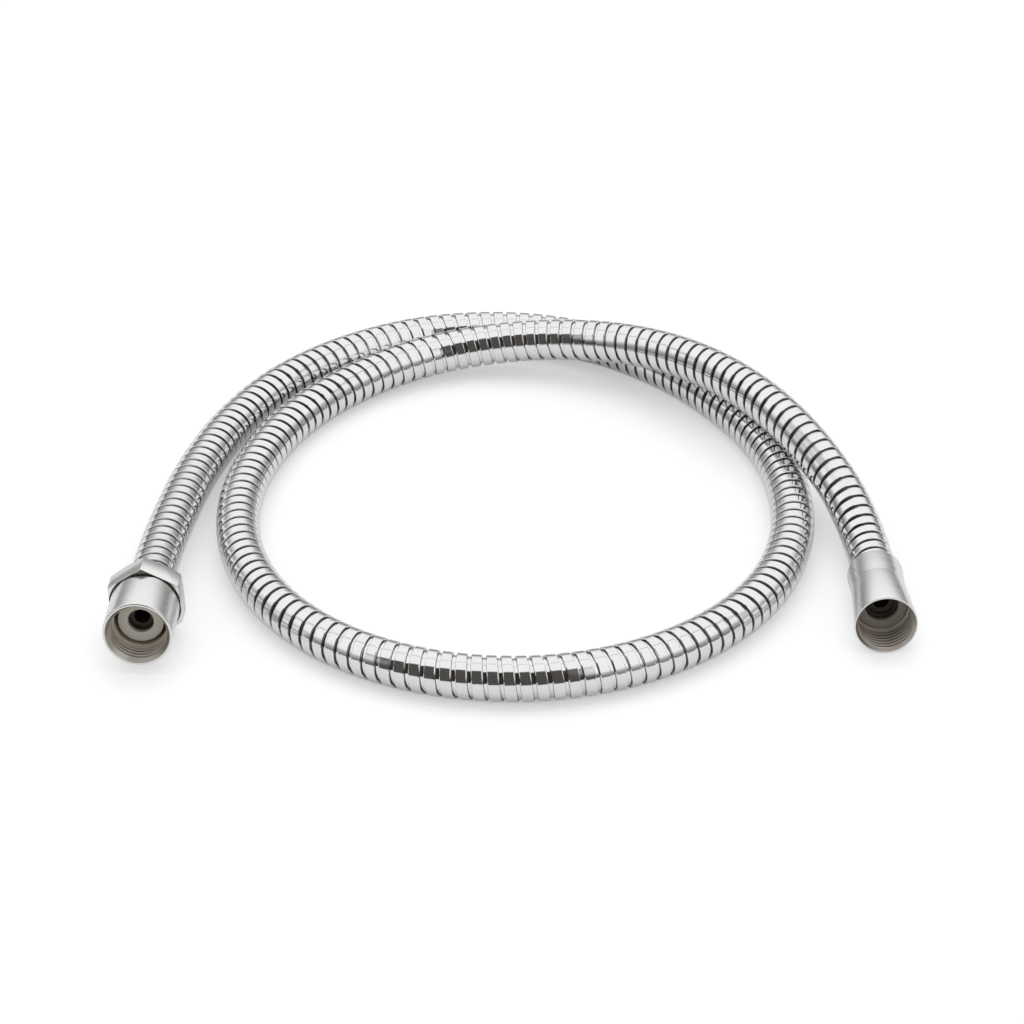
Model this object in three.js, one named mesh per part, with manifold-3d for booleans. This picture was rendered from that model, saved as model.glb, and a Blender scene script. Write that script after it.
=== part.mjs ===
// Flexible shower hose lying in two loose loops, in millimetres, +Z up.
// A wound metal casing runs over a rubber tube. Each end has a barbed insert
// pressed into the tube, a ferrule round it, and a union nut that turns on the
// insert's flange and holds a sealing washer: one nut is hexagonal, one conical.
// The origin is on the floor, midway between the two fittings.
import * as THREE from "three";
import { mergeVertices } from "three/addons/utils/BufferGeometryUtils.js";
import Module from "manifold-3d";

const wasm = await Module();
wasm.setup();

// Clearances
const seatGap = 0.3;          // between pieces that touch or are pressed together
const turningClearance = 0.6; // between the hose and the nut that turns round it
const restGap = 0.1;          // under the hexagon's lowest corner

// Casing, ferrule and tube, from the outside in
const hoseDiameter = 16;
const casingWall = 0.96;
const ferruleWall = 0.5;
const tubeWall = 1.15;
const hoseSides = 12;
const hoseSteps = 74;

// Insert: flange in the nut, barbed stem in the tube
const flangeStep = 0.45;      // how far the flange stands over the nut's rear bore
const flangeThickness = 1.9;
const barbHeight = 0.4;
const barbPitch = 3.6;
const barbCount = 4;
const stemLead = 3;           // plain stem between the flange and the first barb
const stemTip = 1;
const stemWall = 0.85;
const insertMouthDepth = 1.1; // how deep the wider mouth of its bore goes

// Ferrule: a sleeve with two rolled grooves that grip the tube
const ferruleLength = 14;
const ferruleGroove = 0.2;
const ferruleGrooveWidth = 1.6;

// Washers and the bores of the nuts
const washerThickness = 2;
const washerEdge = 0.25;
const undercutWidth = 1.3;
const rearChamfer = 0.4;

// What differs inside the two nuts: how far the thread's bore stands over the
// seat's bore, the mouth's chamfer, the undercut, the washer's depth from the mouth,
// its clearance in the seat, its hole, and the wider mouth of the insert's bore
const hexInside = {
  threadStep: 0.45,
  mouthChamfer: 1.5,
  undercutDepth: 0.4,
  washerDepth: 9.4,
  washerClearance: 1.35,
  washerHole: 9.06,
  insertMouth: 8.1,
};
const coneInside = {
  threadStep: 0.2,
  mouthChamfer: 1.09,
  undercutDepth: 0.15,
  washerDepth: 13.4,
  washerClearance: seatGap,
  washerHole: 11.8,
  insertMouth: 9.2,
};

// Hexagonal union nut: a round cup with the hexagon behind it
const cupWall = 2.85;
const cupLength = 20;
const cupEdge = 0.5;
const neckLength = 0.5;
const neckDepth = 0.6;
const hexStep = 0.25;         // the hexagon's flats over the cup's side
const hexLength = 9.6;
const hexTurn = 4;            // degrees from the top to the nearest corner
const hexChamfer = 30;        // degrees, slope of the chamfer behind the hexagon
const hexFrontBevel = 0.3;

// Conical union nut: a straight taper, then a band that widens to a rounded rim
const coneMouthWall = 1.77;
const coneWaistWall = 1;
const coneRimWall = 1.3;
const coneLength = 24;
const bandLength = 12.5;
const coneMouthEdge = 0.15;
const coneRimEdge = 1;

const nutSegments = 48;
const innerSegments = 24;
const edgeSegments = 3;

// Radii worked out from the hose outwards and inwards
const toFlat = Math.cos(Math.PI / hoseSides);
const casingRadius = hoseDiameter / 2;
const casingInside = casingRadius - casingWall;
const ferruleRadius = casingInside * toFlat - seatGap;
const ferruleInside = ferruleRadius - ferruleWall;
const tubeRadius = ferruleInside - seatGap;
const tubeInside = tubeRadius - tubeWall;
const barbRadius = tubeInside * toFlat - seatGap;
const stemRadius = barbRadius - barbHeight;
const stemBore = stemRadius - stemWall;
const rearBore = casingRadius + turningClearance;
const flangeRadius = rearBore + flangeStep;
const nutBore = flangeRadius + seatGap;
const cupRadius = nutBore + cupWall;
const hexApothem = cupRadius + hexStep;
const hexCorner = hexApothem / Math.cos(Math.PI / 6);
const coneMouthRadius = nutBore + coneMouthWall;
const coneWaistRadius = rearBore + coneWaistWall;
const coneRimRadius = rearBore + coneRimWall;

// Depths inward from a nut's mouth
const flangeFace = (inside) => inside.washerDepth + washerThickness + seatGap;
const flangeBack = (inside) => flangeFace(inside) + flangeThickness;
const shoulderDepth = (inside) => flangeBack(inside) + seatGap;
const hexFront = cupLength + neckLength;
const hexRear = hexFront + hexLength;
const coneRear = coneLength + bandLength;

// A point of a profile: radius, then depth inward from the mouth
const at = (radius, depth) => new THREE.Vector2(radius, depth);

// Points of a rounded edge: a quarter circle about a centre, from one angle to another
const arc = (centre, radius, fromDegrees, toDegrees) => {
  const points = [];
  for (let i = 0; i <= edgeSegments; i += 1) {
    const turn = fromDegrees + ((toDegrees - fromDegrees) * i) / edgeSegments;
    const angle = THREE.MathUtils.degToRad(turn);
    points.push(at(centre.x + radius * Math.cos(angle), centre.y + radius * Math.sin(angle)));
  }
  return points;
};

// A body turned about the Y axis from a closed section, faces outward
const turned = (section, segments = nutSegments) => {
  const points = section.slice();
  if (THREE.ShapeUtils.area(points) < 0) {
    points.reverse();
  }
  points.push(points[0].clone());
  return new THREE.LatheGeometry(points, segments);
};

// Between a mesh's geometry and a solid that can be cut and joined
const toSolid = (geometry) => {
  const plain = geometry.clone();
  plain.deleteAttribute("normal");
  plain.deleteAttribute("uv");
  const merged = mergeVertices(plain, 1e-4);
  return new wasm.Manifold(new wasm.Mesh({
    numProp: 3,
    vertProperties: new Float32Array(merged.attributes.position.array),
    triVerts: new Uint32Array(merged.index.array),
  }));
};

const toGeometry = (solid) => {
  const mesh = solid.getMesh();
  const geometry = new THREE.BufferGeometry();
  geometry.setAttribute("position", new THREE.BufferAttribute(mesh.vertProperties, 3));
  geometry.setIndex(new THREE.BufferAttribute(mesh.triVerts, 1));
  geometry.computeVertexNormals();
  return geometry;
};

// The inside of a nut: chamfered mouth, thread length, undercut in front of the
// washer, seat for washer and flange, shoulder, and the bore round the hose
const nutInside = (inside, rearDepth) => {
  const { threadStep, mouthChamfer, undercutDepth, washerDepth } = inside;
  const threadBore = nutBore + threadStep;
  const undercutStart = washerDepth - undercutWidth;
  const shoulder = shoulderDepth(inside);
  const past = 1;
  return turned([
    at(0, -past),
    at(threadBore + mouthChamfer + past, -past),
    at(threadBore, mouthChamfer),
    at(threadBore, undercutStart),
    at(threadBore + undercutDepth, undercutStart + undercutDepth),
    at(threadBore + undercutDepth, washerDepth),
    at(nutBore, washerDepth),
    at(nutBore, shoulder),
    at(rearBore, shoulder),
    at(rearBore, rearDepth - rearChamfer),
    at(rearBore + rearChamfer + past, rearDepth + past),
    at(0, rearDepth + past),
  ]);
};

// Hexagonal nut: the cup, its neck, and the hexagon cut by chamfers at both faces
const hexNut = () => {
  const cup = turned([
    at(0, 0),
    ...arc(at(cupRadius - cupEdge, cupEdge), cupEdge, -90, 0),
    at(cupRadius, cupLength),
    at(cupRadius - neckDepth, cupLength),
    at(cupRadius - neckDepth, hexFront + neckLength),
    at(0, hexFront + neckLength),
  ]);
  const outline = new THREE.Shape();
  for (let i = 0; i < 6; i += 1) {
    const angle = THREE.MathUtils.degToRad(90 - hexTurn + 60 * i);
    const x = hexCorner * Math.cos(angle);
    const y = hexCorner * Math.sin(angle);
    if (i === 0) {
      outline.moveTo(x, y);
    } else {
      outline.lineTo(x, y);
    }
  }
  const prism = new THREE.ExtrudeGeometry(outline, { depth: hexLength, bevelEnabled: false });
  prism.rotateX(-Math.PI / 2);
  prism.translate(0, hexFront, 0);
  const slope = Math.tan(THREE.MathUtils.degToRad(hexChamfer));
  const cornerOver = hexCorner - hexApothem + seatGap;
  const chamfers = turned([
    at(0, hexFront),
    at(hexCorner - hexFrontBevel, hexFront),
    at(hexApothem + cornerOver, hexFront + hexFrontBevel + seatGap),
    at(hexApothem + cornerOver, hexRear - cornerOver * slope),
    at(hexApothem, hexRear),
    at(0, hexRear),
  ]);
  const hexagon = toSolid(prism).intersect(toSolid(chamfers));
  return toGeometry(toSolid(cup).add(hexagon).subtract(toSolid(nutInside(hexInside, hexRear))));
};

// Conical nut: straight taper, shallow crease, then the band with its rounded rim
const coneNut = () => {
  const rimCentre = at(coneRimRadius - coneRimEdge, coneRear - coneRimEdge);
  const body = turned([
    at(0, 0),
    ...arc(at(coneMouthRadius - coneMouthEdge, coneMouthEdge), coneMouthEdge, -90, 0),
    at(coneWaistRadius, coneLength),
    ...arc(rimCentre, coneRimEdge, 0, 90),
    at(0, coneRear),
  ]);
  return toGeometry(toSolid(body).subtract(toSolid(nutInside(coneInside, coneRear))));
};

// Flat washer with softened edges
const washer = ({ washerDepth, washerClearance, washerHole }) => {
  const hole = washerHole / 2;
  const rim = nutBore - washerClearance;
  const back = washerDepth + washerThickness;
  return turned([
    at(hole, washerDepth + washerEdge),
    at(hole + washerEdge, washerDepth),
    at(rim - washerEdge, washerDepth),
    at(rim, washerDepth + washerEdge),
    at(rim, back - washerEdge),
    at(rim - washerEdge, back),
    at(hole + washerEdge, back),
    at(hole, back - washerEdge),
  ], innerSegments);
};

// Insert: flange, plain neck, sawtooth barbs and a tapered tip, bored right through
const insert = (inside) => {
  const mouthRadius = inside.insertMouth / 2;
  const face = flangeFace(inside);
  const back = flangeBack(inside);
  const firstBarb = back + stemLead;
  const section = [
    at(mouthRadius, face),
    at(flangeRadius, face),
    at(flangeRadius, back),
    at(stemRadius, back),
    at(stemRadius, firstBarb),
  ];
  for (let i = 0; i < barbCount; i += 1) {
    const front = firstBarb + barbPitch * i;
    section.push(at(barbRadius, front));
    section.push(at(stemRadius, front + barbPitch));
  }
  const tip = firstBarb + barbPitch * barbCount + stemTip;
  section.push(at(stemRadius, tip - stemWall / 2));
  section.push(at(stemRadius - stemWall / 2, tip));
  section.push(at(stemBore, tip));
  section.push(at(stemBore, face + insertMouthDepth));
  section.push(at(mouthRadius, face + insertMouthDepth));
  return turned(section, innerSegments);
};

// Ferrule: a sleeve between tube and casing with rolled grooves, open at both ends
const ferrule = (inside) => {
  const front = shoulderDepth(inside);
  const back = front + ferruleLength;
  const section = [at(ferruleInside, front), at(ferruleRadius, front)];
  for (const share of [1 / 3, 2 / 3]) {
    const middle = front + ferruleLength * share;
    section.push(at(ferruleRadius, middle - ferruleGrooveWidth / 2));
    section.push(at(ferruleRadius - ferruleGroove, middle));
    section.push(at(ferruleRadius, middle + ferruleGrooveWidth / 2));
  }
  section.push(at(ferruleRadius, back), at(ferruleInside, back));
  return turned(section, innerSegments);
};

// Where each end lies: the middle of its mouth over the floor, the way it points
// aside (degrees from -Y towards +X), and how far its mouth rises (degrees)
const hexPlace = { x: -129.06, y: -24.51, aside: -2.5, rise: 3.1 };
const conePlace = { x: 130.14, y: -11.57, aside: 1.4, rise: 2.6 };

// Direction inward from a mouth
const inwardOf = (place) => {
  const aside = THREE.MathUtils.degToRad(place.aside);
  const rise = THREE.MathUtils.degToRad(place.rise);
  return new THREE.Vector3(
    -Math.sin(aside) * Math.cos(rise),
    Math.cos(aside) * Math.cos(rise),
    -Math.sin(rise),
  );
};

// Height of a mouth's middle when the given edge of its fitting just clears the floor
const mouthHeight = (place, edgeRadius, edgeDepth) => {
  const rise = THREE.MathUtils.degToRad(place.rise);
  return edgeRadius * Math.cos(rise) + edgeDepth * Math.sin(rise);
};

const cornerDrop = hexCorner * Math.cos(THREE.MathUtils.degToRad(hexTurn));
const hexHeight = mouthHeight(hexPlace, cornerDrop, hexRear) + restGap;
const coneHeight = mouthHeight(conePlace, coneRimRadius, coneRear - coneRimEdge);
const hexMouth = new THREE.Vector3(hexPlace.x, hexPlace.y, hexHeight);
const coneMouth = new THREE.Vector3(conePlace.x, conePlace.y, coneHeight);
const hexInward = inwardOf(hexPlace);
const coneInward = inwardOf(conePlace);

// Route of the hose from the hexagonal nut to the conical one: x, y, and how far it
// is lifted off the floor, in hose diameters
const route = [
  [-126.5, 31.5, 0.3],
  [-122.5, 66.5, 0.2],
  [-116.5, 101, 0.09],
  [-106, 135, 0.03],
  [-89.5, 165.5, 0],
  [-65.5, 189.5, 0],
  [-34.5, 205.5, 0],
  [0.5, 209, 0],
  [32.5, 199.5, 0],
  [60, 178, 0],
  [81.5, 149.5, 0],
  [96, 118, 0],
  [102.5, 84, 0],
  [101, 49.5, 0],
  [90, 16.5, 0],
  [69, -11.5, 0],
  [40, -31, 0],
  [6.5, -39.5, 0],
  [-28, -35.5, 0],
  [-59, -19.5, 0],
  [-82.5, 6, 0],
  [-96.5, 38, 0],
  [-100.5, 72.5, 0],
  [-95.5, 106.5, 0],
  [-82.5, 139, 0],
  [-61, 166.5, 0.03],
  [-32, 185.5, 0.14],
  [1.5, 190.5, 0.36],
  [34.5, 181.5, 0.68],
  [62.5, 162, 0.97],
  [85.5, 136, 1.1],
  [104.5, 105.5, 1],
  [119, 76, 0.61],
  [124.5, 59, 0.35],
  [127.7, 42.5, 0.16],
];

// The hose runs straight inside each fitting and a little past it
const alongAxis = (mouth, inward, depths) =>
  depths.map((depth) => mouth.clone().addScaledVector(inward, depth));
const hexStraight = [shoulderDepth(hexInside), hexRear];
const coneStraight = [coneRear, shoulderDepth(coneInside)];
const centreline = new THREE.CatmullRomCurve3([
  ...alongAxis(hexMouth, hexInward, hexStraight),
  ...route.map(([x, y, lift]) => new THREE.Vector3(x, y, casingRadius + restGap / 2 + lift * hoseDiameter)),
  ...alongAxis(coneMouth, coneInward, coneStraight),
]);
centreline.arcLengthDivisions = 2000;

// A ring-shaped section swept along the hose's centreline
const sweptRing = (outside, inside) => {
  const polygon = (radius) => {
    const points = [];
    for (let i = 0; i < hoseSides; i += 1) {
      const angle = (2 * Math.PI * i) / hoseSides;
      points.push(new THREE.Vector2(radius * Math.cos(angle), radius * Math.sin(angle)));
    }
    return points;
  };
  const section = new THREE.Shape(polygon(outside));
  section.holes.push(new THREE.Path(polygon(inside)));
  return new THREE.ExtrudeGeometry(section, { steps: hoseSteps, extrudePath: centreline });
};

// Finishes
const finish = (color, roughness, metalness) =>
  new THREE.MeshStandardMaterial({ color, roughness, metalness });
const polished = () => finish(0xd6d7d8, 0.12, 1);
const satin = () => finish(0xc4c5c6, 0.28, 1);
const brass = () => finish(0xb9985a, 0.35, 1);
const steel = () => finish(0x9a9b9c, 0.4, 1);
const rubber = () => finish(0x2a2a2a, 0.8, 0);
const fibre = () => finish(0xb5ad9d, 0.85, 0);

const piece = (name, geometry, material) => {
  const mesh = new THREE.Mesh(geometry, material);
  mesh.name = name;
  return mesh;
};

// One end fitting: its pieces stand along Y from the mouth inward, then lie down
const fitting = (name, nut, inside, mouth, inward) => {
  const end = new THREE.Group();
  end.add(piece(`${name}_nut`, nut, satin()));
  end.add(piece(`${name}_washer`, washer(inside), fibre()));
  end.add(piece(`${name}_insert`, insert(inside), brass()));
  end.add(piece(`${name}_ferrule`, ferrule(inside), steel()));
  end.position.copy(mouth);
  end.quaternion.setFromUnitVectors(new THREE.Vector3(0, 1, 0), inward);
  return end;
};

const hose = new THREE.Group();
hose.add(piece("outer_casing", sweptRing(casingRadius, casingInside), polished()));
hose.add(piece("inner_tube", sweptRing(tubeRadius, tubeInside), rubber()));
hose.add(fitting("hex", hexNut(), hexInside, hexMouth, hexInward));
hose.add(fitting("cone", coneNut(), coneInside, coneMouth, coneInward));

export default hose;
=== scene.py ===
import bisect
import math

import bmesh
import bpy
from mathutils import Matrix, Vector


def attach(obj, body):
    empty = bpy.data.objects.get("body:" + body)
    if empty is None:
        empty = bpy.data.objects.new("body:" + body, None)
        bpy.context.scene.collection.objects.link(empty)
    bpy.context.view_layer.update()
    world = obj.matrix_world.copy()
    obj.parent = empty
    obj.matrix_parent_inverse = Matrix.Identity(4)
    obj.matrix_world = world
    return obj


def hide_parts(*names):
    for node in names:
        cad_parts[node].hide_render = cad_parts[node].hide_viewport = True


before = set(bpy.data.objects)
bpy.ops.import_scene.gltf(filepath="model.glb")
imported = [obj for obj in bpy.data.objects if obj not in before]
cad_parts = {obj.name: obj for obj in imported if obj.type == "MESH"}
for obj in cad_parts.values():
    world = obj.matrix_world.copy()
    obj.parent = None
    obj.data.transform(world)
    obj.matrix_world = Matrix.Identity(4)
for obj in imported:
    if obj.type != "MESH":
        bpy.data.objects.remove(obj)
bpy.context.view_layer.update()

MM = 0.001

# Sizes of the hose and its fittings, in millimetres; the casing's inside is a radius
HOSE_DIAMETER = 16.0
CASING_INSIDE = 6.9

# The casing's strip: a groove with a flat floor, then a crown with an edge on each side,
# which turns over the groove's wall in a lip
STRIP_PITCH = 5.18
GROOVE_FLOOR = 1.1
GROOVE_DEPTH = 0.95
GROOVE_SLOPE = 0.16
LIP_DEPTH = 0.5
EDGE_DEPTH = 0.1
EDGE_START = 0.07
EDGE_END = 0.26
TURN_STEPS = 40
SPARE_TURNS = 2
PATH_STEPS = 400

# What both nuts share
TURNING_CLEARANCE = 0.6
FLANGE_STEP = 0.45
SEAT_GAP = 0.3
WASHER_THICKNESS = 2.0
FLANGE_THICKNESS = 1.9
UNDERCUT_WIDTH = 1.3
THREAD_PITCH = 1.814
THREAD_HEIGHT = 0.62
THREAD_ROWS = 12
THREAD_FLANK = 2.6
REAR_CHAMFER = 0.4

# How bare the edge of a mouth is, where 0 is plated and 1 is as bare as the thread; the same number
# sets how much painted shade the edge gets, where 1 is as dark as the thread's roots
MOUTH_EDGE_BARE_AND_SHADE = 0.85

# The hexagonal nut: a cup, a narrow neck and a hexagon; its turn and chamfer are in degrees
CUP_WALL = 2.85
CUP_LENGTH = 20.0
CUP_EDGE = 0.5
CUP_LAND = 0.08
CUP_BEVEL = 0.2
NECK_LENGTH = 0.5
NECK_DEPTH = 0.6
NECK_OVERLAP = 0.5
REAR_WALL = 2.0
HEX_STEP = 0.25
HEX_LENGTH = 9.6
HEX_TURN = 4.0
HEX_CHAMFER = 30.0
HEX_HOLE_WALL = 1.2
HOLE_MARGIN = 0.2
HEX_SPARE = 0.3
HEX_FRONT_INSET = 0.35
HEX_FRONT_DEPTH = 0.6
HEX_EDGE = 0.12

# How far the painted shade of the gap at the neck reaches past the cup's wall
GAP_SHADE = 0.55

# The conical nut: a taper to a waist, then a band with a rounded rim
CONE_MOUTH_WALL = 1.77
CONE_WAIST_WALL = 1.0
CONE_RIM_WALL = 1.3
CONE_LENGTH = 24.0
BAND_LENGTH = 12.5
CONE_MOUTH_EDGE = 0.15
CONE_LAND = 0.06
WAIST_EASE = 0.5
WAIST_STEPS = (0.03, 0.01)
RIM_ROUNDING = 1.0

WASHER_ROUNDING = 0.25

# The inserts, behind their flanges
BARB_RADIUS = 4.1
BARB_DEPTH = 0.4
BARB_START = 3.0
BARB_PITCH = 3.6
BARBS = 4
TIP_LENGTH = 1.0
TIP_DEPTH = 0.8
STEM_BORE = 2.85
INSERT_EDGE = 0.15
COUNTERBORE_DEPTH = 1.1
COUNTERBORE_END = 1.4

# Edges that turn more sharply than this stay creased, in degrees
STRIP_CREASE = 20
NUT_CREASE = 28
WASHER_CREASE = 40
HEX_CREASE = 25

HOSE_RADIUS = HOSE_DIAMETER / 2
REAR_BORE = HOSE_RADIUS + TURNING_CLEARANCE
FLANGE_RADIUS = REAR_BORE + FLANGE_STEP
SEAT_BORE = FLANGE_RADIUS + SEAT_GAP
HEX_REAR = CUP_LENGTH + NECK_LENGTH + HEX_LENGTH
CONE_REAR = CONE_LENGTH + BAND_LENGTH

# Steps round a turned ring
ROUND = 96
INSERT_ROUND = 64

# How close two points are to be merged, in metres
SAME_POINT = 1e-7
SAME_SEAM = 2e-6

# How close a point or a face is to count as lying at a given radius or depth, in millimetres
NEAR = 0.01
MARGIN = 0.05


class Inside:
    """Sizes inside one nut, with depths running inward from its mouth."""

    def __init__(
        self, thread_step, mouth_chamfer, undercut,
        washer_depth, washer_clearance, washer_hole, insert_mouth,
    ):
        self.thread_bore = SEAT_BORE + thread_step
        self.mouth_chamfer = mouth_chamfer
        self.undercut = undercut
        self.washer_depth = washer_depth
        self.washer_radius = SEAT_BORE - washer_clearance
        self.washer_hole = washer_hole / 2
        self.insert_mouth = insert_mouth / 2
        self.thread_end = washer_depth - UNDERCUT_WIDTH
        self.flange_face = washer_depth + WASHER_THICKNESS + SEAT_GAP
        self.flange_back = self.flange_face + FLANGE_THICKNESS
        self.shoulder = self.flange_back + SEAT_GAP


HEX_INSIDE = Inside(
    thread_step=0.45, mouth_chamfer=1.5, undercut=0.4,
    washer_depth=9.4, washer_clearance=1.35, washer_hole=9.06, insert_mouth=8.1,
)
CONE_INSIDE = Inside(
    thread_step=0.2, mouth_chamfer=1.09, undercut=0.15,
    washer_depth=13.4, washer_clearance=SEAT_GAP, washer_hole=11.8, insert_mouth=9.2,
)

# Where each mouth's middle lies, and the direction into its fitting: degrees aside and down
HEX_MOUTH = Vector((-129.06, -24.51, 16.048))
CONE_MOUTH = Vector((130.14, -11.57, 11.500))
HEX_AIM = (-2.5, 3.1)
CONE_AIM = (1.4, 2.6)


def inward(aim):
    """The direction from a mouth into its fitting, of length 1."""
    aside, down = (math.radians(angle) for angle in aim)
    return Vector((
        -math.sin(aside) * math.cos(down),
        math.cos(aside) * math.cos(down),
        -math.sin(down),
    ))


# Camera: the middle of its picture is a point of the floor inside the loops

LOOK_AT = Vector((-0.06, 83.33, 0.0)) * MM
CAMERA_RISE = math.radians(31.27)
CAMERA_DISTANCE = 1.3412
CAMERA_LENS = 126.76
CAMERA_SENSOR = 36


def make_camera():
    """Looks at the floor from in front, at the photograph's angle."""
    data = bpy.data.cameras.new("camera")
    data.lens = CAMERA_LENS
    data.sensor_width = CAMERA_SENSOR
    camera = bpy.data.objects.new("camera", data)
    bpy.context.collection.objects.link(camera)
    away = Vector((0, -math.cos(CAMERA_RISE), math.sin(CAMERA_RISE)))
    camera.location = LOOK_AT + away * CAMERA_DISTANCE
    camera.rotation_euler = (math.pi / 2 - CAMERA_RISE, 0, 0)
    bpy.context.scene.camera = camera


make_camera()


# Route of the hose, in metres: x, y, and how far it is lifted, in hose diameters
ROUTE = [
    (-0.1265, 0.0315, 0.3),
    (-0.1225, 0.0665, 0.2),
    (-0.1165, 0.101, 0.09),
    (-0.106, 0.135, 0.03),
    (-0.0895, 0.1655, 0),
    (-0.0655, 0.1895, 0),
    (-0.0345, 0.2055, 0),
    (0.0005, 0.209, 0),
    (0.0325, 0.1995, 0),
    (0.06, 0.178, 0),
    (0.0815, 0.1495, 0),
    (0.096, 0.118, 0),
    (0.1025, 0.084, 0),
    (0.101, 0.0495, 0),
    (0.09, 0.0165, 0),
    (0.069, -0.0115, 0),
    (0.04, -0.031, 0),
    (0.0065, -0.0395, 0),
    (-0.028, -0.0355, 0),
    (-0.059, -0.0195, 0),
    (-0.0825, 0.006, 0),
    (-0.0965, 0.038, 0),
    (-0.1005, 0.0725, 0),
    (-0.0955, 0.1065, 0),
    (-0.0825, 0.139, 0),
    (-0.061, 0.1665, 0.03),
    (-0.032, 0.1855, 0.14),
    (0.0015, 0.1905, 0.36),
    (0.0345, 0.1815, 0.68),
    (0.0625, 0.162, 0.97),
    (0.0855, 0.136, 1.1),
    (0.1045, 0.1055, 1),
    (0.119, 0.076, 0.61),
    (0.1245, 0.059, 0.35),
    (0.1277, 0.0425, 0.16),
]
FLOOR_GAP = 0.05
REST_HEIGHT = (HOSE_RADIUS + FLOOR_GAP) * MM


class Centreline:
    """A smooth curve through points, with a frame carried along it without twist."""

    def __init__(self, points, parts=24):
        self.points = self.smooth(points, parts)
        self.lengths = [0.0]
        for a, b in zip(self.points, self.points[1:]):
            self.lengths.append(self.lengths[-1] + (b - a).length)
        self.length = self.lengths[-1]
        self.carry_frames()

    @staticmethod
    def smooth(points, parts):
        """Cubic pieces between the points, which turn gently where the points lie unevenly."""
        first = 2 * points[0] - points[1]
        last = 2 * points[-1] - points[-2]
        run = [first, *points, last]
        curve = []
        for p0, p1, p2, p3 in zip(run, run[1:], run[2:], run[3:]):
            before, here, after = (math.sqrt((b - a).length) for a, b in ((p0, p1), (p1, p2), (p2, p3)))
            leave = ((p1 - p0) / before - (p2 - p0) / (before + here) + (p2 - p1) / here) * here
            arrive = ((p2 - p1) / here - (p3 - p1) / (here + after) + (p3 - p2) / after) * here
            for step in range(parts):
                t = step / parts
                curve.append(
                    (2 * t**3 - 3 * t**2 + 1) * p1
                    + (t**3 - 2 * t**2 + t) * leave
                    + (3 * t**2 - 2 * t**3) * p2
                    + (t**3 - t**2) * arrive
                )
        curve.append(points[-1].copy())
        return curve

    def carry_frames(self):
        """Finds a side and an up at each point, from the ones before it."""
        count = len(self.points)
        ahead = [self.points[min(i + 1, count - 1)] - self.points[max(i - 1, 0)] for i in range(count)]
        ahead = [a.normalized() for a in ahead]
        side = ahead[0].cross(Vector((0, 0, 1))).normalized()
        self.sides = []
        self.ups = []
        for tangent in ahead:
            side = (side - side.dot(tangent) * tangent).normalized()
            self.sides.append(side)
            self.ups.append(side.cross(tangent))

    def place(self, distance):
        """Point, side and up at a distance along the curve."""
        i = bisect.bisect_right(self.lengths, distance) - 1
        i = max(0, min(i, len(self.points) - 2))
        t = (distance - self.lengths[i]) / (self.lengths[i + 1] - self.lengths[i])
        point = self.points[i].lerp(self.points[i + 1], t)
        side = self.sides[i].lerp(self.sides[i + 1], t)
        up = self.ups[i].lerp(self.ups[i + 1], t)
        return point, side, up


def hose_centreline():
    """The route from the shoulder inside one nut to the shoulder inside the other."""
    hex_in = inward(HEX_AIM)
    cone_in = inward(CONE_AIM)
    points = [(HEX_MOUTH + depth * hex_in) * MM for depth in (HEX_INSIDE.shoulder, HEX_REAR)]
    for x, y, lift in ROUTE:
        points.append(Vector((x, y, REST_HEIGHT + lift * HOSE_DIAMETER * MM)))
    points += [(CONE_MOUTH + depth * cone_in) * MM for depth in (CONE_REAR, CONE_INSIDE.shoulder)]
    return Centreline(points)


centreline = hose_centreline()


# Mesh helpers

def new_object(name, bm, body, node):
    """Makes a finished mesh a piece that rides on a body and stands for a node."""
    for face in bm.faces:
        face.smooth = True
    mesh = bpy.data.meshes.new(name)
    bm.to_mesh(mesh)
    bm.free()
    piece = bpy.data.objects.new(name, mesh)
    bpy.context.collection.objects.link(piece)
    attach(piece, body)
    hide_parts(node)
    return piece


def keep_creases(bm, degrees):
    """Shades a mesh smooth, apart from open edges and those that turn too sharply."""
    limit = math.radians(degrees)
    for edge in bm.edges:
        edge.smooth = len(edge.link_faces) == 2 and edge.calc_face_angle(0) < limit


def mark_faces(bm, name, worth):
    """Gives each face a number that its material reads."""
    layer = bm.faces.layers.float.new(name)
    for face in bm.faces:
        face[layer] = worth(face)


def outline(bm, points, closed, inner_from=None):
    """Edges through points given as radius and depth, with those of an inner wall marked.

    The last point of an inner wall is the edge of its mouth, which is a little less bare."""
    inner = bm.verts.layers.float.get("inner") or bm.verts.layers.float.new("inner")
    verts = [bm.verts.new((radius * MM, 0, depth * MM)) for radius, depth in points]
    if inner_from is not None:
        for vert in verts[inner_from:]:
            vert[inner] = 1
        verts[-1][inner] = MOUTH_EDGE_BARE_AND_SHADE
    pairs = list(zip(verts, verts[1:]))
    if closed:
        pairs.append((verts[-1], verts[0]))
    edges = [bm.edges.new(pair) for pair in pairs]
    return verts + edges


def turned(points, steps=ROUND, inner_from=None):
    """A ring turned about the Z axis from a closed section."""
    bm = bmesh.new()
    section = outline(bm, points, True, inner_from)
    bmesh.ops.spin(
        bm, geom=section, cent=(0, 0, 0), axis=(0, 0, 1), dvec=(0, 0, 0),
        angle=2 * math.pi, steps=steps, use_merge=True, use_duplicate=False,
    )
    bmesh.ops.remove_doubles(bm, verts=bm.verts[:], dist=SAME_POINT)
    bmesh.ops.recalc_face_normals(bm, faces=bm.faces[:])
    return bm


def lay_down(bm, mouth, aim):
    """Depth along Z becomes depth inward from a mouth."""
    into = inward(aim)
    turn = Vector((0, 1, 0)).rotation_difference(into).to_matrix().to_4x4()
    upright = Matrix.Rotation(-math.pi / 2, 4, "X")
    place = Matrix.Translation(mouth * MM) @ turn @ upright
    bmesh.ops.transform(bm, matrix=place, verts=bm.verts[:])


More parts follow.
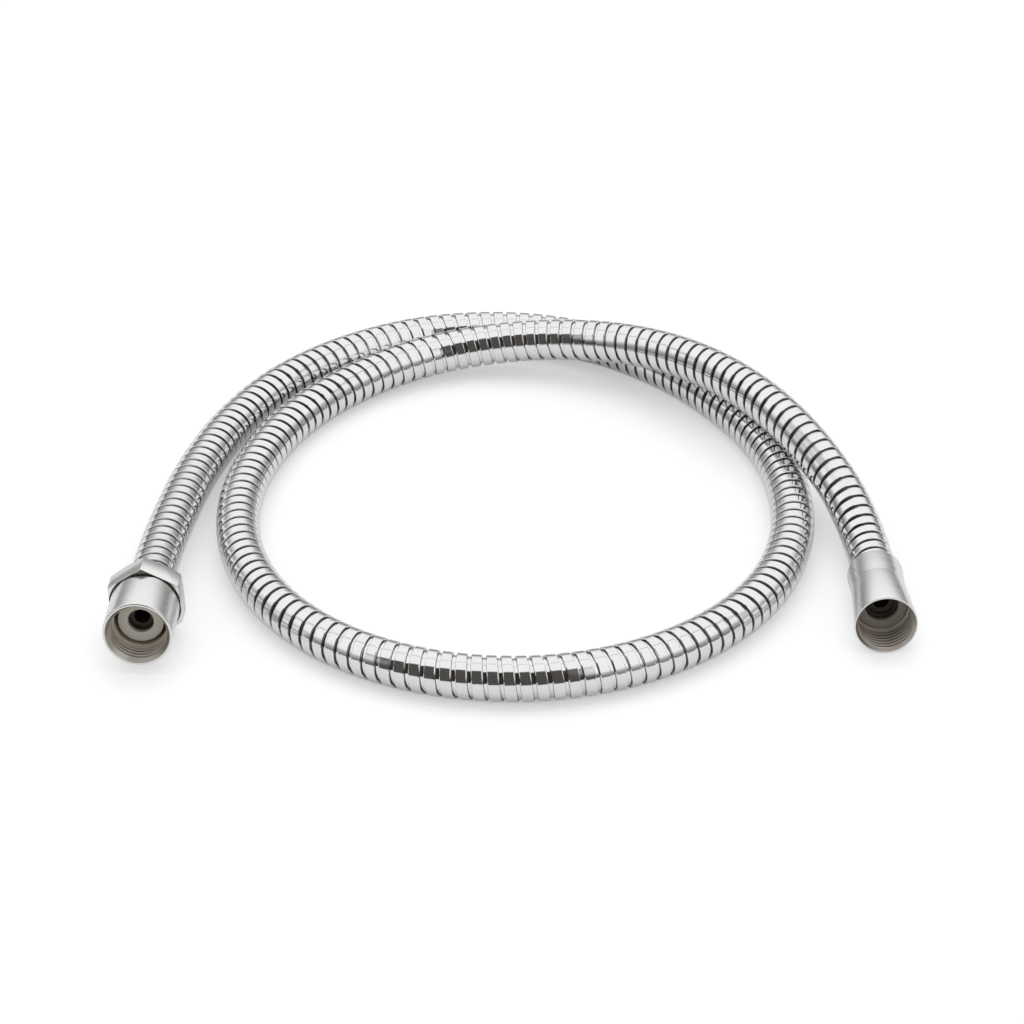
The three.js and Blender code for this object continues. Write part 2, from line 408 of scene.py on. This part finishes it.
def rounded(points, centre, radius, start, end, steps=6):
    """Adds a rounded edge to a list of points, from one angle to another in degrees."""
    for i in range(steps + 1):
        angle = math.radians(start + (end - start) * i / steps)
        points.append((centre[0] + radius * math.cos(angle), centre[1] + radius * math.sin(angle)))


# Outer casing: a strip wound into a tube, bent along the hose's route

def wound_turn():
    """One turn of the strip outside, and of the plain wall inside."""
    crown = HOSE_RADIUS
    floor = HOSE_RADIUS - GROOVE_DEPTH
    rise = GROOVE_FLOOR + GROOVE_SLOPE
    fall = STRIP_PITCH - GROOVE_SLOPE
    strip = [
        (floor, 0),
        (floor, GROOVE_FLOOR),
        (crown - LIP_DEPTH, rise),
        (crown - EDGE_DEPTH, rise + EDGE_START),
        (crown, rise + EDGE_END),
        (crown, fall - EDGE_END),
        (crown - EDGE_DEPTH, fall - EDGE_START),
        (crown - LIP_DEPTH, fall),
        (floor, STRIP_PITCH),
    ]
    bm = bmesh.new()
    section = outline(bm, strip, False)
    section += outline(bm, [(CASING_INSIDE, 0), (CASING_INSIDE, STRIP_PITCH)], False)
    bmesh.ops.spin(
        bm, geom=section, cent=(0, 0, 0), axis=(0, 0, 1),
        dvec=(0, 0, STRIP_PITCH * MM / TURN_STEPS),
        angle=-2 * math.pi, steps=TURN_STEPS, use_merge=False, use_duplicate=False,
    )
    return bm


def wind(bm, turns):
    """Copies a turn along Z until there are enough, doubling them each time."""
    made = 1
    while made < turns:
        more = min(made, turns - made)
        copy = bmesh.ops.duplicate(bm, geom=bm.faces[: len(bm.faces) // made * more])
        verts = [part for part in copy["geom"] if isinstance(part, bmesh.types.BMVert)]
        bmesh.ops.translate(bm, verts=verts, vec=(0, 0, made * STRIP_PITCH * MM))
        made += more
    bmesh.ops.remove_doubles(bm, verts=bm.verts[:], dist=SAME_SEAM)


def cut_square(bm, height, clear_above):
    """Cuts the winding square across and closes the cut between its two walls."""
    cut = bmesh.ops.bisect_plane(
        bm, geom=bm.verts[:] + bm.edges[:] + bm.faces[:], dist=SAME_POINT,
        plane_co=(0, 0, height), plane_no=(0, 0, 1),
        clear_outer=clear_above, clear_inner=not clear_above,
    )
    edges = [part for part in cut["geom_cut"] if isinstance(part, bmesh.types.BMEdge)]
    edges = [edge for edge in edges if edge.is_boundary]
    bmesh.ops.triangle_fill(bm, use_beauty=True, use_dissolve=False, edges=edges)


# The casing's marks, with a number between the last two that tells its material what is a wall, which
# it paints with shade
ON_CROWN, ON_FLOOR, ON_WALL = 0, 0.5, 1
WALL_SHADE_MARK = 0.75


def lies_in_groove(face):
    """Whether a face lies on the strip's crown, on the groove's floor or on its walls."""
    radii = [math.hypot(vert.co.x, vert.co.y) / MM for vert in face.verts]
    floor = HOSE_RADIUS - GROOVE_DEPTH + MARGIN
    if min(radii) > floor:
        return ON_CROWN
    return ON_WALL if max(radii) > floor else ON_FLOOR


def make_casing():
    """Winds a straight tube with turns to spare, cuts it to length and bends it."""
    bm = wound_turn()
    spare = SPARE_TURNS * STRIP_PITCH * MM
    turns = math.ceil((centreline.length + 2 * spare) / (STRIP_PITCH * MM))
    wind(bm, turns)
    cut_square(bm, spare, False)
    cut_square(bm, spare + centreline.length, True)
    bmesh.ops.recalc_face_normals(bm, faces=bm.faces[:])
    keep_creases(bm, STRIP_CREASE)
    mark_faces(bm, "groove", lies_in_groove)
    for vert in bm.verts:
        point, side, up = centreline.place(vert.co.z - spare)
        vert.co = point + vert.co.x * side + vert.co.y * up
    return new_object("casing", bm, "hose", "outer_casing")


casing = make_casing()
casing_path = [
    centreline.place(centreline.length * i / PATH_STEPS)[0] for i in range(PATH_STEPS + 1)
]


# Union nuts, washers and inserts

def nut_inside(inside, rear):
    """The inner wall of a nut from its rear bore to its mouth, with rows for the thread."""
    undercut_radius = inside.thread_bore + inside.undercut
    points = [
        (REAR_BORE + REAR_CHAMFER, rear),
        (REAR_BORE, rear - REAR_CHAMFER),
        (REAR_BORE, inside.shoulder),
        (SEAT_BORE, inside.shoulder),
        (SEAT_BORE, inside.washer_depth),
        (undercut_radius, inside.washer_depth),
        (undercut_radius, inside.thread_end + inside.undercut),
    ]
    run = inside.thread_end - inside.mouth_chamfer
    rows = round(run / (THREAD_PITCH / THREAD_ROWS))
    for i in range(rows + 1):
        points.append((inside.thread_bore, inside.thread_end - run * i / rows))
    points.append((inside.thread_bore + inside.mouth_chamfer, 0))
    return points


def cut_thread(bm, inside):
    """Cuts a right-handed thread into the rows of the bore and marks how deep each point is, which sets
    the painted shade in the thread's roots.
    """
    cut = bm.verts.layers.float.new("cut")
    for vert in bm.verts:
        radius = math.hypot(vert.co.x, vert.co.y) / MM
        depth = vert.co.z / MM
        # The mouth's edge is marked for painted shade, a little less than the deepest roots
        if abs(radius - inside.thread_bore - inside.mouth_chamfer) < NEAR:
            vert[cut] = MOUTH_EDGE_BARE_AND_SHADE
        in_rows = inside.mouth_chamfer - NEAR < depth < inside.thread_end + NEAR
        if abs(radius - inside.thread_bore) > NEAR or not in_rows:
            continue
        turn = math.atan2(vert.co.y, vert.co.x) / (2 * math.pi)
        phase = (depth / THREAD_PITCH - turn) % 1
        height = THREAD_HEIGHT * min(1, THREAD_FLANK * abs(phase - 0.5))
        height *= min(1, (inside.thread_end - depth) / (THREAD_PITCH / 2))
        vert[cut] = height / THREAD_HEIGHT
        scale = (inside.thread_bore + height) / radius
        vert.co.x *= scale
        vert.co.y *= scale


def make_hexagon():
    """A hexagonal ring, its corners cut back by a cone behind and a fine one in front."""
    apothem = SEAT_BORE + CUP_WALL + HEX_STEP
    corner = apothem / math.cos(math.pi / 6)
    front = CUP_LENGTH + NECK_LENGTH
    over = corner - apothem + HEX_SPARE
    slope = math.tan(math.radians(HEX_CHAMFER))
    hole = SEAT_BORE + HEX_HOLE_WALL
    section = [
        (hole, front),
        # The front face is split where the gap's painted shade ends
        (SEAT_BORE + CUP_WALL + GAP_SHADE, front),
        (corner - HEX_FRONT_INSET, front),
        (apothem + over, front + HEX_FRONT_DEPTH),
        (apothem + over, HEX_REAR - over * slope),
        (apothem, HEX_REAR),
        (hole, HEX_REAR),
    ]
    bm = turned(section, 2 * ROUND)
    for i in range(6):
        corner_angle = 90 - HEX_TURN + 60 * i
        flat_angle = math.radians(corner_angle + 30)
        flat = Vector((math.cos(flat_angle), math.sin(flat_angle), 0))
        cut = bmesh.ops.bisect_plane(
            bm, geom=bm.verts[:] + bm.edges[:] + bm.faces[:], dist=SAME_POINT,
            plane_co=flat * apothem * MM, plane_no=flat, clear_outer=True,
        )
        rim = [part for part in cut["geom_cut"] if isinstance(part, bmesh.types.BMEdge)]
        bmesh.ops.holes_fill(bm, edges=rim, sides=0)
    bmesh.ops.recalc_face_normals(bm, faces=bm.faces[:])
    sharp = [edge for edge in bm.edges if edge.calc_face_angle(0) > math.radians(HEX_CREASE)]
    past_hole = (hole + HOLE_MARGIN) * MM
    outer = [edge for edge in sharp if all(math.hypot(v.co.x, v.co.y) > past_hole for v in edge.verts)]
    bmesh.ops.bevel(
        bm, geom=outer, offset=HEX_EDGE * MM, offset_type="OFFSET", segments=2, profile=0.5,
        affect="EDGES", material=-1, clamp_overlap=True,
    )
    return bm


def in_gap(face):
    """1 for a face in the narrow gap between the cup and the hexagon, or just beside it, where shade is
    painted.
    """
    centre = face.calc_center_median()
    near = math.hypot(centre.x, centre.y) < (SEAT_BORE + CUP_WALL + GAP_SHADE) * MM
    return float(near and CUP_LENGTH - MARGIN < centre.z / MM < CUP_LENGTH + NECK_LENGTH + MARGIN)


def finish_nut(name, bm, body, node, mouth, aim):
    """Marks a nut's inner wall, its thread and the gap at the neck for their colour and painted shade,
    lays the nut down and makes it an object.
    """
    keep_creases(bm, NUT_CREASE)
    inner = bm.verts.layers.float["inner"]
    cut = bm.verts.layers.float["cut"]

    def least_inner(face):
        return min(vert[inner] for vert in face.verts)

    def mean_cut(face):
        return sum(vert[cut] for vert in face.verts) / len(face.verts)

    # The gap at the neck takes the inner wall's colour, so that its painted shade is the same dark
    # brown
    mark_faces(bm, "inside", lambda face: max(in_gap(face), least_inner(face)))
    mark_faces(bm, "root", lambda face: max(in_gap(face), mean_cut(face)))
    lay_down(bm, mouth, aim)
    return new_object(name, bm, body, node)


def make_hex_nut():
    """The cup with its neck and inner wall, and the hexagon as a second shell round it."""
    inside = HEX_INSIDE
    cup = SEAT_BORE + CUP_WALL
    neck = cup - NECK_DEPTH
    section = [(inside.thread_bore + inside.mouth_chamfer + CUP_LAND, 0)]
    rounded(section, (cup - CUP_EDGE, CUP_EDGE), CUP_EDGE, -90, 0)
    section += [
        (cup, CUP_LENGTH - CUP_BEVEL),
        (cup - CUP_BEVEL, CUP_LENGTH),
        (neck, CUP_LENGTH),
        (neck, CUP_LENGTH + NECK_LENGTH + NECK_OVERLAP),
        (SEAT_BORE + REAR_WALL, HEX_REAR),
    ]
    inner_from = len(section)
    section += nut_inside(inside, HEX_REAR)
    bm = turned(section, inner_from=inner_from)
    cut_thread(bm, inside)
    hexagon = make_hexagon()
    mesh = bpy.data.meshes.new("hexagon")
    hexagon.to_mesh(mesh)
    hexagon.free()
    bm.from_mesh(mesh)
    bpy.data.meshes.remove(mesh)
    return finish_nut("hex_union_nut", bm, "hex_union", "hex_nut", HEX_MOUTH, HEX_AIM)


def make_cone_nut():
    """One turned shell, straight from the mouth to the waist and from there to the rim."""
    inside = CONE_INSIDE
    mouth = SEAT_BORE + CONE_MOUTH_WALL
    waist = REAR_BORE + CONE_WAIST_WALL
    rim = REAR_BORE + CONE_RIM_WALL
    section = [(inside.thread_bore + inside.mouth_chamfer + CONE_LAND, 0)]
    rounded(section, (mouth - CONE_MOUTH_EDGE, CONE_MOUTH_EDGE), CONE_MOUTH_EDGE, -90, 0, steps=4)
    section += [
        (waist + WAIST_STEPS[0], CONE_LENGTH - WAIST_EASE),
        (waist + WAIST_STEPS[1], CONE_LENGTH + WAIST_EASE),
    ]
    rounded(section, (rim - RIM_ROUNDING, CONE_REAR - RIM_ROUNDING), RIM_ROUNDING, 0, 90)
    inner_from = len(section)
    section += nut_inside(inside, CONE_REAR)
    bm = turned(section, inner_from=inner_from)
    cut_thread(bm, inside)
    return finish_nut("cone_union_nut", bm, "cone_union", "cone_nut", CONE_MOUTH, CONE_AIM)


def make_washer(name, body, node, inside, mouth, aim):
    """A flat ring with rounded edges."""
    hole = inside.washer_hole
    rim = inside.washer_radius
    front = inside.washer_depth
    back = front + WASHER_THICKNESS
    soft = WASHER_ROUNDING
    section = []
    rounded(section, (hole + soft, front + soft), soft, 180, 270, steps=3)
    rounded(section, (rim - soft, front + soft), soft, 270, 360, steps=3)
    rounded(section, (rim - soft, back - soft), soft, 0, 90, steps=3)
    rounded(section, (hole + soft, back - soft), soft, 90, 180, steps=3)
    bm = turned(section)
    keep_creases(bm, WASHER_CREASE)
    lay_down(bm, mouth, aim)
    return new_object(name, bm, body, node)


def make_insert(name, node, inside, mouth, aim):
    """A flange with a barbed stem behind it, bored through and wider at its mouth."""
    stem = BARB_RADIUS - BARB_DEPTH
    face = inside.flange_face
    back = inside.flange_back
    section = [
        (inside.insert_mouth + INSERT_EDGE, face),
        (FLANGE_RADIUS, face),
        (FLANGE_RADIUS, back),
        (stem, back),
    ]
    barb = back + BARB_START
    section.append((stem, barb))
    for _ in range(BARBS):
        section += [(BARB_RADIUS, barb), (stem, barb + BARB_PITCH)]
        barb += BARB_PITCH
    tip = barb + TIP_LENGTH
    section += [
        (BARB_RADIUS - TIP_DEPTH, tip),
        (STEM_BORE, tip),
        (STEM_BORE, face + COUNTERBORE_END),
        (inside.insert_mouth, face + COUNTERBORE_DEPTH),
        (inside.insert_mouth, face + INSERT_EDGE),
    ]
    bm = turned(section, INSERT_ROUND)
    keep_creases(bm, NUT_CREASE)
    lay_down(bm, mouth, aim)
    return new_object(name, bm, "hose", node)


hex_nut = make_hex_nut()
cone_nut = make_cone_nut()
hex_seal = make_washer("hex_seal", "hex_union", "hex_washer", HEX_INSIDE, HEX_MOUTH, HEX_AIM)
cone_seal = make_washer("cone_seal", "cone_union", "cone_washer", CONE_INSIDE, CONE_MOUTH, CONE_AIM)
hex_insert = make_insert("hex_hose_insert", "hex_insert", HEX_INSIDE, HEX_MOUTH, HEX_AIM)
cone_insert = make_insert("cone_hose_insert", "cone_insert", CONE_INSIDE, CONE_MOUTH, CONE_AIM)


# Materials

# Places on the mixer of two colours: its amount, its colours and the colour that it gives
MIX_AMOUNT, MIX_FIRST, MIX_SECOND = 0, 6, 7
MIXED = 2


class Value:
    """A number or colour that changes over a surface, with sums written as Python."""

    def __init__(self, tree, socket):
        self.tree = tree
        self.socket = socket

    def sum_with(self, operation, first, second=0.0):
        return self.tree.add("ShaderNodeMath", {"operation": operation}, {0: first, 1: second})

    def __add__(self, other):
        return self.sum_with("ADD", self, other)

    def __radd__(self, other):
        return self.sum_with("ADD", other, self)

    def __sub__(self, other):
        return self.sum_with("SUBTRACT", self, other)

    def __rsub__(self, other):
        return self.sum_with("SUBTRACT", other, self)

    def __mul__(self, other):
        return self.sum_with("MULTIPLY", self, other)

    def __rmul__(self, other):
        return self.sum_with("MULTIPLY", other, self)

    def __gt__(self, other):
        return self.sum_with("GREATER_THAN", self, other)

    def __abs__(self):
        return self.sum_with("ABSOLUTE", self)

    def or_more(self, other):
        return self.sum_with("MAXIMUM", self, other)


class Tree:
    """The nodes of a material or of the room's light."""

    def __init__(self, tree):
        self.nodes = tree.nodes
        self.links = tree.links

    def add(self, kind, settings=None, inputs=None, output=0):
        """Adds a node and returns one of its outputs as a value."""
        node = self.nodes.new(kind)
        for name, value in (settings or {}).items():
            if name == "stops":
                self.set_stops(node.color_ramp, value)
            else:
                setattr(node, name, value)
        for name, value in (inputs or {}).items():
            self.feed(node.inputs[name], value)
        return Value(self, node.outputs[output])

    @staticmethod
    def set_stops(ramp, stops):
        while len(ramp.elements) < len(stops):
            ramp.elements.new(1)
        for element, (place, grey) in zip(ramp.elements, stops):
            element.position = place
            element.color = (grey, grey, grey, 1)

    def feed(self, socket, value):
        if isinstance(value, Value):
            self.links.new(value.socket, socket)
        else:
            socket.default_value = value

    def mix(self, amount, first, second):
        """The first colour where the amount is 0, the second where it is 1."""
        return self.add(
            "ShaderNodeMix", {"data_type": "RGBA"},
            {MIX_AMOUNT: amount, MIX_FIRST: first, MIX_SECOND: second}, MIXED,
        )

    def ease(self, value, start, end, before=0.0, after=1.0):
        """Runs smoothly from before to after while the value runs from start to end."""
        return self.add("ShaderNodeMapRange", {"interpolation_type": "SMOOTHSTEP"}, {
            "Value": value, "From Min": start, "From Max": end, "To Min": before, "To Max": after,
        })

    def seen_by(self, ray):
        """1 for one kind of ray, 0 for the others."""
        return self.add("ShaderNodeLightPath", output=f"Is {ray} Ray")


class Surface(Tree):
    """A material, whose shader's inputs are set by their names."""

    def __init__(self, name):
        self.material = bpy.data.materials.new(name)
        self.material.use_nodes = True
        super().__init__(self.material.node_tree)
        self.shader = self.nodes["Principled BSDF"]

    def set(self, **inputs):
        for name, value in inputs.items():
            self.feed(self.shader.inputs[name.replace("_", " ")], value)

    def grain(self, scale, detail=2.0, stretch=None):
        """A soft pattern from 0 to 1, squeezed along an axis where a piece is brushed."""
        where = self.add("ShaderNodeTexCoord", output="Object")
        if stretch:
            where = self.add("ShaderNodeMapping", {}, {"Vector": where, "Scale": stretch})
        return self.add("ShaderNodeTexNoise", {}, {"Vector": where, "Scale": scale, "Detail": detail})

    def mark(self, name):
        """The number that a mesh gives each of its faces."""
        return self.add("ShaderNodeAttribute", {"attribute_name": name}, output="Fac")

    def bump(self, height, distance):
        return self.add("ShaderNodeBump", {}, {"Height": height, "Distance": distance})


def dress(surface, *pieces):
    """Gives pieces a material in place of the one they have."""
    for piece in pieces:
        piece.data.materials.clear()
        piece.data.materials.append(surface.material)


def polished_strip():
    """Bright plating, a little cloudy, with painted shade on the walls of the grooves, which are also
    rougher.
    """
    surface = Surface("polished strip")
    cloud = surface.grain(220)
    fine = surface.grain(2600, 3)
    groove = surface.mark("groove")
    # The groove's walls get painted shade: a dark brown in place of the shade deep in each groove
    wall = groove > WALL_SHADE_MARK
    plating = surface.mix(cloud, (0.82, 0.82, 0.83, 1), (0.89, 0.89, 0.89, 1))
    surface.set(
        Base_Color=surface.mix(wall, plating, (0.18, 0.165, 0.145, 1)),
        Metallic=0.93 + 0.14 * groove,
        Roughness=0.05 + 0.07 * cloud + 0.15 * wall,
        Normal=surface.bump(fine, 0.000004),
    )
    return surface


# Marks of the brush per metre, many along the nut and few round it
BRUSHING = (40, 2200, 40)


def satin_nut():
    """Plating brushed round the nut outside, and a bare thread inside, with painted shade in its roots,
    at the mouth's edge and in the gap at the neck.
    """
    surface = Surface("satin plating")
    cloud = surface.grain(90)
    fine = surface.grain(3800, 3)
    brushed = surface.grain(1, 3, stretch=BRUSHING)
    inside = surface.mark("inside")
    plating = surface.mix(brushed, (0.79, 0.79, 0.79, 1), (0.97, 0.97, 0.96, 1))
    bare = surface.mix(cloud, (0.80, 0.73, 0.63, 1), (0.92, 0.86, 0.77, 1))
    # Painted shade: a dark brown in the thread's roots, at the mouth's edge and in the gap at the neck
    thread = surface.mix(surface.mark("root"), bare, (0.06, 0.04, 0.02, 1))
    surface.set(
        Base_Color=surface.mix(inside, plating, thread),
        Metallic=0.97 - 0.5 * inside,
        Roughness=0.16 + 0.12 * brushed + 0.05 * fine + 0.12 * inside,
        Normal=surface.bump(brushed, 0.00001),
    )
    return surface


def washer_fibre(name, dark, pale):
    """Pressed fibre, speckled and matt."""
    surface = Surface(name)
    speck = surface.grain(1500, 4)
    surface.set(
        Base_Color=surface.mix(speck, dark, pale),
        Roughness=0.6 + 0.3 * speck,
        Normal=surface.bump(speck, 0.00004),
    )
    return surface


def turned_brass():
    """Brass painted very dark, for the shade deep inside the nut where it sits."""
    surface = Surface("turned brass")
    cloud = surface.grain(700)
    surface.set(
        Base_Color=surface.mix(cloud, (0.05, 0.038, 0.026, 1), (0.09, 0.07, 0.05, 1)),
        Metallic=0.4,
        Roughness=0.45 + 0.15 * cloud,
    )
    return surface


def rolled_steel():
    """Plain steel, as on the ferrules."""
    surface = Surface("rolled steel")
    cloud = surface.grain(600)
    surface.set(
        Base_Color=surface.mix(cloud, (0.42, 0.42, 0.43, 1), (0.5, 0.5, 0.5, 1)),
        Metallic=1.0,
        Roughness=0.35 + 0.15 * cloud,
    )
    return surface


def black_rubber():
    """The inner tube's matt rubber."""
    surface = Surface("black rubber")
    speck = surface.grain(1800)
    surface.set(
        Base_Color=surface.mix(speck, (0.015, 0.015, 0.015, 1), (0.035, 0.035, 0.034, 1)),
        Roughness=0.6 + 0.2 * speck,
        Normal=surface.bump(speck, 0.00003),
    )
    return surface


dress(polished_strip(), casing)
dress(satin_nut(), hex_nut, cone_nut)
dress(washer_fibre("cream fibre", (0.58, 0.54, 0.46, 1), (0.78, 0.74, 0.66, 1)), hex_seal)
dress(washer_fibre("grey fibre", (0.30, 0.27, 0.23, 1), (0.44, 0.41, 0.36, 1)), cone_seal)
dress(turned_brass(), hex_insert, cone_insert)
dress(rolled_steel(), bpy.data.objects["hex_ferrule"], bpy.data.objects["cone_ferrule"])
dress(black_rubber(), bpy.data.objects["inner_tube"])


# Floor

FLOOR_SIDE = 6.0
FLOOR_COLOR = (0.8, 0.8, 0.8, 1)
FLOOR_GLOW = 0.36
GLOW_IN_METAL = 0.1


def make_floor():
    """A white table, which the camera and the metal see a little brighter than its light makes it."""
    bm = bmesh.new()
    bmesh.ops.create_grid(bm, x_segments=1, y_segments=1, size=FLOOR_SIDE / 2)
    mesh = bpy.data.meshes.new("floor")
    bm.to_mesh(mesh)
    bm.free()
    floor = bpy.data.objects.new("floor", mesh)
    bpy.context.collection.objects.link(floor)
    surface = Surface("white table")
    glow = FLOOR_GLOW * surface.seen_by("Camera") + GLOW_IN_METAL * surface.seen_by("Glossy")
    surface.set(
        Base_Color=FLOOR_COLOR, Roughness=0.9, Specular_IOR_Level=0.0,
        Emission_Color=(1, 1, 1, 1), Emission_Strength=glow,
    )
    dress(surface, floor)


# Room: what the metal reflects, as greys in each direction

# From the horizon, at a height of 0, to straight above, at 1
ROOM_GREYS = [(0.0, 0.13), (0.12, 0.23), (0.30, 0.46), (0.41, 0.84), (0.49, 0.98), (0.70, 1.0)]

# A dark panel in front, which leans and has an end on either side, nearer together higher up
PANEL_COLOR = (0.030, 0.026, 0.022, 1)
PANEL_SLANT = math.radians(23)
PANEL_BLUR = 0.03
PANEL_ASIDE = 0.14
PANEL_TAPER = 0.27
PANEL_ENDS = (0.65, 0.76)

# A thin grey seam across the white above: solid up to the first width, gone at the second
SEAM_COLOR = (0.5, 0.5, 0.5, 1)
SEAM_SLANT = math.radians(19)
SEAM_WIDTHS = (0.012, 0.035)

# What matt surfaces and the camera see in place of all this
FILL_COLOR = (0.72, 0.72, 0.72, 1)
BACKDROP_COLOR = (1, 1, 1, 1)


def make_room():
    """Puts the room round the scene, for glossy rays alone."""
    world = bpy.data.worlds.new("studio")
    world.use_nodes = True
    world.cycles.sampling_method = "NONE"
    bpy.context.scene.world = world
    room = Tree(world.node_tree)
    where = room.add("ShaderNodeTexCoord", output="Generated")
    across, ahead, height = (
        room.add("ShaderNodeSeparateXYZ", {}, {0: where}, axis) for axis in "XYZ"
    )
    greys = room.add("ShaderNodeValToRGB", {"stops": ROOM_GREYS}, {0: height})
    past_edge = height * math.sin(PANEL_SLANT) + ahead * math.cos(PANEL_SLANT)
    above = room.ease(past_edge, -PANEL_BLUR, PANEL_BLUR)
    beside = room.ease(abs(across + PANEL_ASIDE) + PANEL_TAPER * height, *PANEL_ENDS)
    light = room.mix(above.or_more(beside), PANEL_COLOR, greys)
    off_seam = abs(ahead * math.cos(SEAM_SLANT) - height * math.sin(SEAM_SLANT))
    light = room.mix(room.ease(off_seam, *SEAM_WIDTHS, 1.0, 0.0), light, SEAM_COLOR)
    light = room.mix(room.seen_by("Diffuse"), light, FILL_COLOR)
    light = room.mix(room.seen_by("Camera"), light, BACKDROP_COLOR)
    room.feed(room.nodes["Background"].inputs["Color"], light)


# Lamp

LAMP_SIZE = (1.2, 0.9)
LAMP_POWER = 3.0
LAMP_PLACE = (0, 0.25, 1.1)


def make_lamp():
    """One wide soft lamp above, for the shadow on the floor; the metal doesn't mirror it."""
    data = bpy.data.lights.new("softbox", "AREA")
    data.shape = "RECTANGLE"
    data.size, data.size_y = LAMP_SIZE
    data.energy = LAMP_POWER
    lamp = bpy.data.objects.new("softbox", data)
    bpy.context.collection.objects.link(lamp)
    lamp.location = LAMP_PLACE
    lamp.visible_glossy = False


make_floor()
make_room()
make_lamp()

bpy.context.scene.view_settings.view_transform = "Standard"
